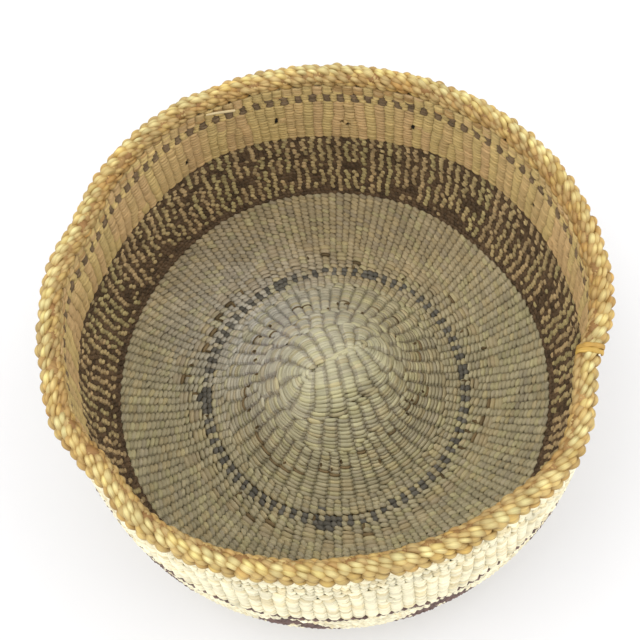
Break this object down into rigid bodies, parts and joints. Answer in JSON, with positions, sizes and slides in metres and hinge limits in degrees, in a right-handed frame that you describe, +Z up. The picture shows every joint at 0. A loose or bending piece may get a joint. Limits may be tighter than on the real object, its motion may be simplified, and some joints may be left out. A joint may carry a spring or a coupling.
{
  "type": "twined basketry bowl",
  "caption": "Round twined basketry bowl with a pushed-up base, a speckled wall band and a thick lumpy rim.",
  "frame": {"origin": "on the surface that the bowl stands on, below the middle of the bowl", "axes": "+Z up along the bowl's axis, +X to the right and +Y away from the picture's viewer"},
  "size_m": [0.1566, 0.1566, 0.0826],
  "materials": {
    "pale_weft": "matte plant fibre",
    "khaki_weft": "matte plant fibre",
    "tan_weft": "satin plant fibre",
    "charcoal_overlay": "dyed matte plant fibre",
    "brown_overlay": "dark satin plant fibre",
    "orange_strand": "satin plant fibre",
    "gold_strand": "satin plant fibre",
    "straw_strand": "satin plant fibre",
    "bright_strand": "satin plant fibre",
    "peeled_shoot": "smooth peeled shoot"
  },
  "bodies": {
    "root": {"start_knot": "pale_weft", "base_inner_weft": "khaki_weft", "base_dotted_ring": "charcoal_overlay", "base_outer_weft": "khaki_weft", "base_edge_line": "brown_overlay", "wall_speckled_lower": "brown_overlay", "wall_speckled_upper": "brown_overlay", "wall_plain_band": "tan_weft", "wall_dash_row": "charcoal_overlay", "wall_top_weft": "tan_weft", "rim_inner_row": "orange_strand", "rim_outer_row": "gold_strand", "rim_bead_row": "straw_strand", "rim_finish_strand": "bright_strand", "loose_weft_end": "pale_weft", "warp_01": "peeled_shoot", "warp_02": "peeled_shoot", "warp_03": "peeled_shoot", "warp_04": "peeled_shoot", "warp_05": "peeled_shoot", "warp_06": "peeled_shoot", "warp_07": "peeled_shoot", "warp_08": "peeled_shoot", "warp_09": "peeled_shoot", "warp_10": "peeled_shoot", "warp_11": "peeled_shoot", "warp_12": "peeled_shoot", "warp_13": "peeled_shoot", "warp_14": "peeled_shoot", "warp_15": "peeled_shoot", "warp_16": "peeled_shoot", "warp_17": "peeled_shoot", "warp_18": "peeled_shoot", "warp_19": "peeled_shoot", "warp_20": "peeled_shoot", "added_warp_01": "peeled_shoot", "added_warp_02": "peeled_shoot", "added_warp_03": "peeled_shoot", "added_warp_04": "peeled_shoot", "added_warp_05": "peeled_shoot", "added_warp_06": "peeled_shoot", "added_warp_07": "peeled_shoot", "added_warp_08": "peeled_shoot", "added_warp_09": "peeled_shoot", "added_warp_10": "peeled_shoot", "added_warp_11": "peeled_shoot", "added_warp_12": "peeled_shoot", "added_warp_13": "peeled_shoot", "added_warp_14": "peeled_shoot", "added_warp_15": "peeled_shoot", "added_warp_16": "peeled_shoot", "added_warp_17": "peeled_shoot", "added_warp_18": "peeled_shoot", "added_warp_19": "peeled_shoot", "added_warp_20": "peeled_shoot"}
  },
  "joints": []
}
